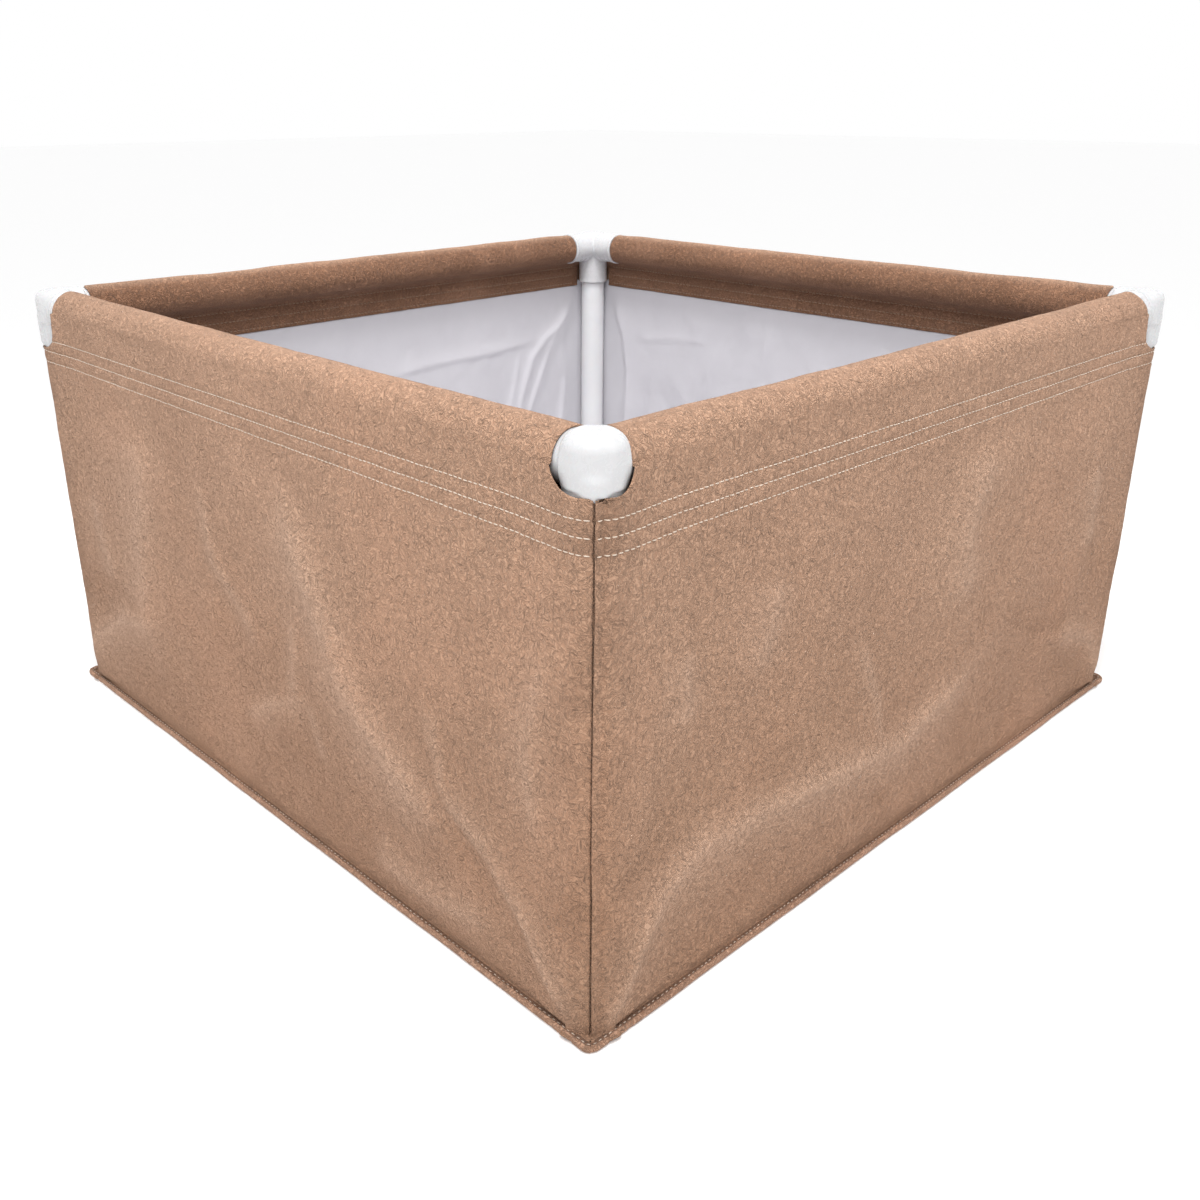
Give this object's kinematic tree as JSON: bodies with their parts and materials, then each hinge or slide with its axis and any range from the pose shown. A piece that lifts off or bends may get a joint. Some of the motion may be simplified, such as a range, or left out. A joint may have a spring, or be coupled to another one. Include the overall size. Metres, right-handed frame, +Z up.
{
  "type": "framed fabric grow bag",
  "caption": "Square open-top fabric planter: brushed cloth sides sewn over a push-fit plastic pipe frame, pale lining, bound base welt.",
  "frame": {"origin": "centre of the footprint, on the ground", "axes": "+Z up out of the open top, +X towards the right side, -Y towards the front side; all four sides are alike"},
  "size_m": [0.6836, 0.6836, 0.3576],
  "materials": {
    "frame_plastic": "smooth white pipe and moulded fittings, satin gloss",
    "outer_fabric": "brushed non-woven cloth with a short curly nap, tan brown",
    "lining_fabric": "smooth pale lining, faintly creased",
    "binding_fabric": "folded strip of the same brushed cloth",
    "thread": "cream sewing thread"
  },
  "bodies": {
    "root": {"top_fitting_front_left": "frame_plastic", "top_fitting_front_right": "frame_plastic", "top_fitting_back_right": "frame_plastic", "top_fitting_back_left": "frame_plastic", "bottom_fitting_front_left": "frame_plastic", "bottom_fitting_front_right": "frame_plastic", "bottom_fitting_back_right": "frame_plastic", "bottom_fitting_back_left": "frame_plastic", "post_front_left": "frame_plastic", "post_front_right": "frame_plastic", "post_back_right": "frame_plastic", "post_back_left": "frame_plastic", "top_rail_front": "frame_plastic", "top_rail_right": "frame_plastic", "top_rail_back": "frame_plastic", "top_rail_left": "frame_plastic", "bottom_rail_front": "frame_plastic", "bottom_rail_right": "frame_plastic", "bottom_rail_back": "frame_plastic", "bottom_rail_left": "frame_plastic", "side_panel_front": "outer_fabric", "side_panel_right": "outer_fabric", "side_panel_back": "outer_fabric", "side_panel_left": "outer_fabric", "lining_front": "lining_fabric", "lining_right": "lining_fabric", "lining_back": "lining_fabric", "lining_left": "lining_fabric", "base_panel": "outer_fabric", "base_lining": "lining_fabric", "base_binding_front": "binding_fabric", "base_binding_right": "binding_fabric", "base_binding_back": "binding_fabric", "base_binding_left": "binding_fabric", "hem_stitches_front": "thread", "hem_stitches_right": "thread", "hem_stitches_back": "thread", "hem_stitches_left": "thread", "base_stitches": "thread"}
  },
  "joints": []
}
